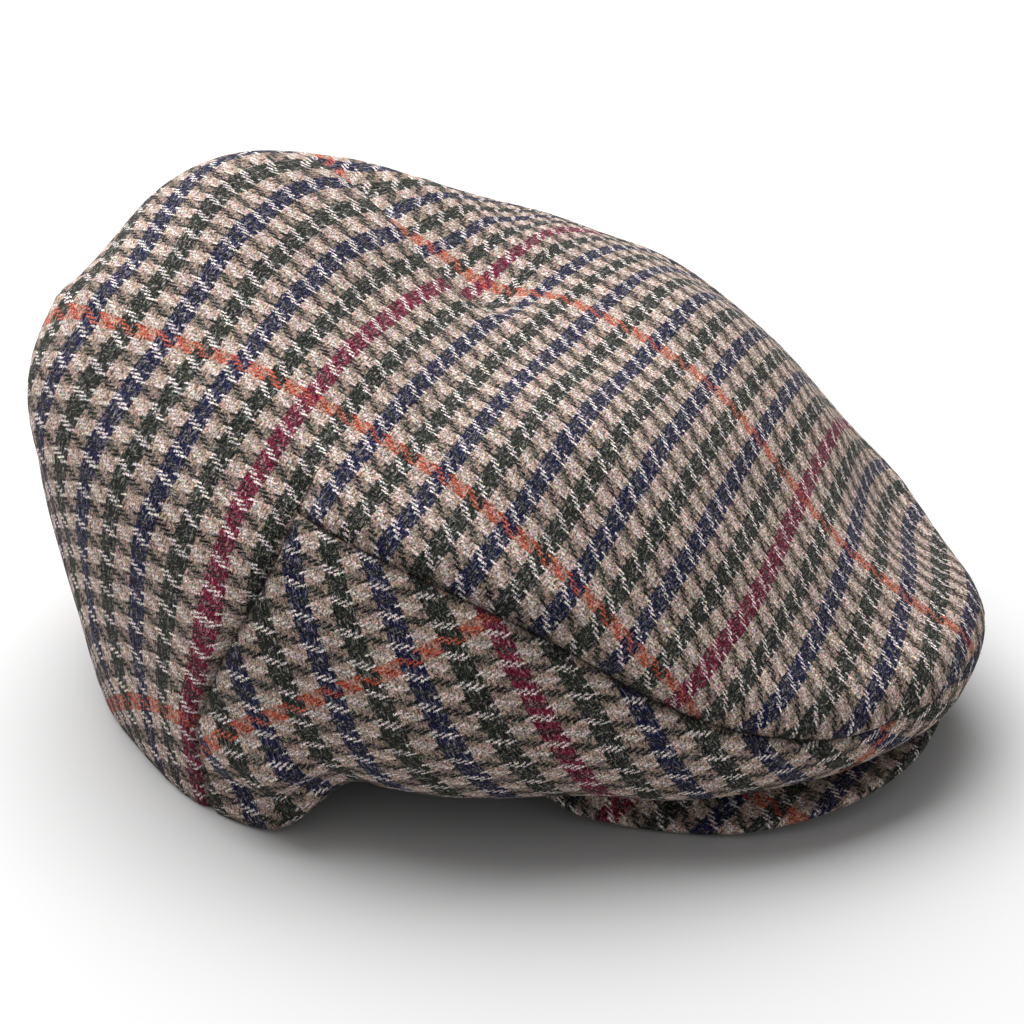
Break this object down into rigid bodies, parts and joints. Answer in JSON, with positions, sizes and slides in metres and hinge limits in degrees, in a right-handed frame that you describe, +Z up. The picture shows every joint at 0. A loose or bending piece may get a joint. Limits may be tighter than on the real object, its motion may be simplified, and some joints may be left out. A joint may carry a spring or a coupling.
{
  "type": "flat cap",
  "caption": "Soft woollen flat cap with a one-piece top and back panel, two side panels and a cloth-covered peak.",
  "frame": {"origin": "on the resting surface, under the middle of the cap's box", "axes": "-Y to the front, where the peak points; +Z up; -X to the wearer's right"},
  "size_m": [0.2212, 0.272, 0.143],
  "materials": {
    "tweed_top": "brushed woollen twill in a checked houndstooth, tan and cream with green, navy, orange and crimson",
    "tweed_side": "the same woollen cloth, cut on another grain",
    "tweed_peak": "the same woollen cloth over a stiff peak"
  },
  "bodies": {
    "root": {"crown_top": "tweed_top", "side_panel_right": "tweed_side", "side_panel_left": "tweed_side", "peak": "tweed_peak"}
  },
  "joints": []
}
